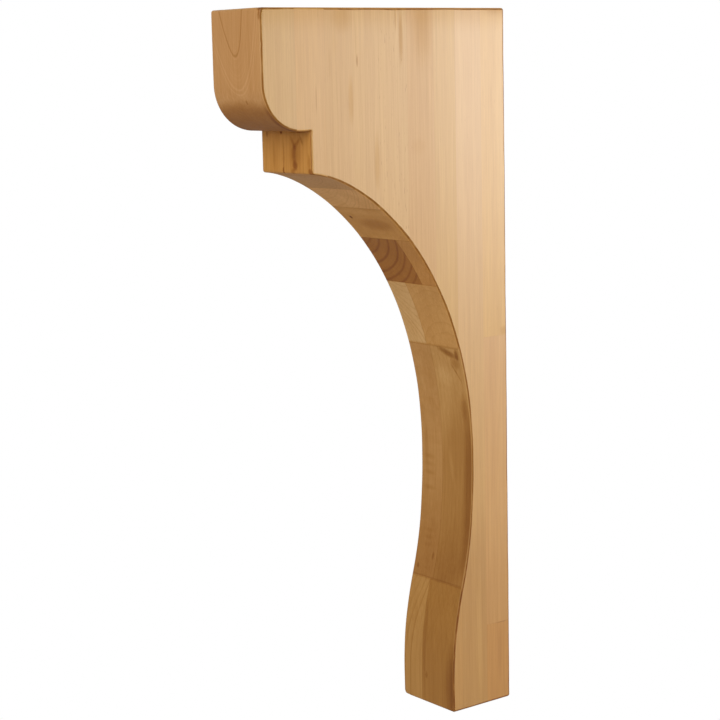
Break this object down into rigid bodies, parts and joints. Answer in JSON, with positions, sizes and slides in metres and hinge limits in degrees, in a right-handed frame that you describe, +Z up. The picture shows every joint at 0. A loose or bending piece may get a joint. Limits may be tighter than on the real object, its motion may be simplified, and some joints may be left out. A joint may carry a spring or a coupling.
{
  "type": "wooden corbel bracket",
  "caption": "Tall glued-up maple corbel bracket with a rounded nose, a square step below it and a long concave sweep down to a narrow foot, flat at the back and on top.",
  "frame": {"origin": "middle of the flat wall face, at half the height and half the thickness", "axes": "+X across the thickness towards the right-hand side face, +Y into the wall, so the bracket reaches out towards -Y, +Z up"},
  "size_m": [0.0632, 0.2313, 0.559],
  "materials": {
    "pale_maple": "sanded, unfinished, straight fine grain",
    "tan_maple": "sanded, unfinished",
    "warm_maple": "sanded, unfinished",
    "dark_maple": "sanded, unfinished, dark heartwood"
  },
  "bodies": {
    "root": {"nose_board": "tan_maple", "cove_board_8": "warm_maple", "cove_board_7": "warm_maple", "cove_board_6": "tan_maple", "cove_board_5": "warm_maple", "cove_board_4_left": "dark_maple", "cove_board_4_right": "tan_maple", "cove_board_3_left": "tan_maple", "cove_board_3_right": "tan_maple", "foot_board_3_left": "warm_maple", "foot_board_3_right": "warm_maple", "throat_board_left": "warm_maple", "throat_board_right": "warm_maple", "back_board_top": "pale_maple", "back_board_middle": "pale_maple", "back_board_bottom": "pale_maple"}
  },
  "joints": []
}
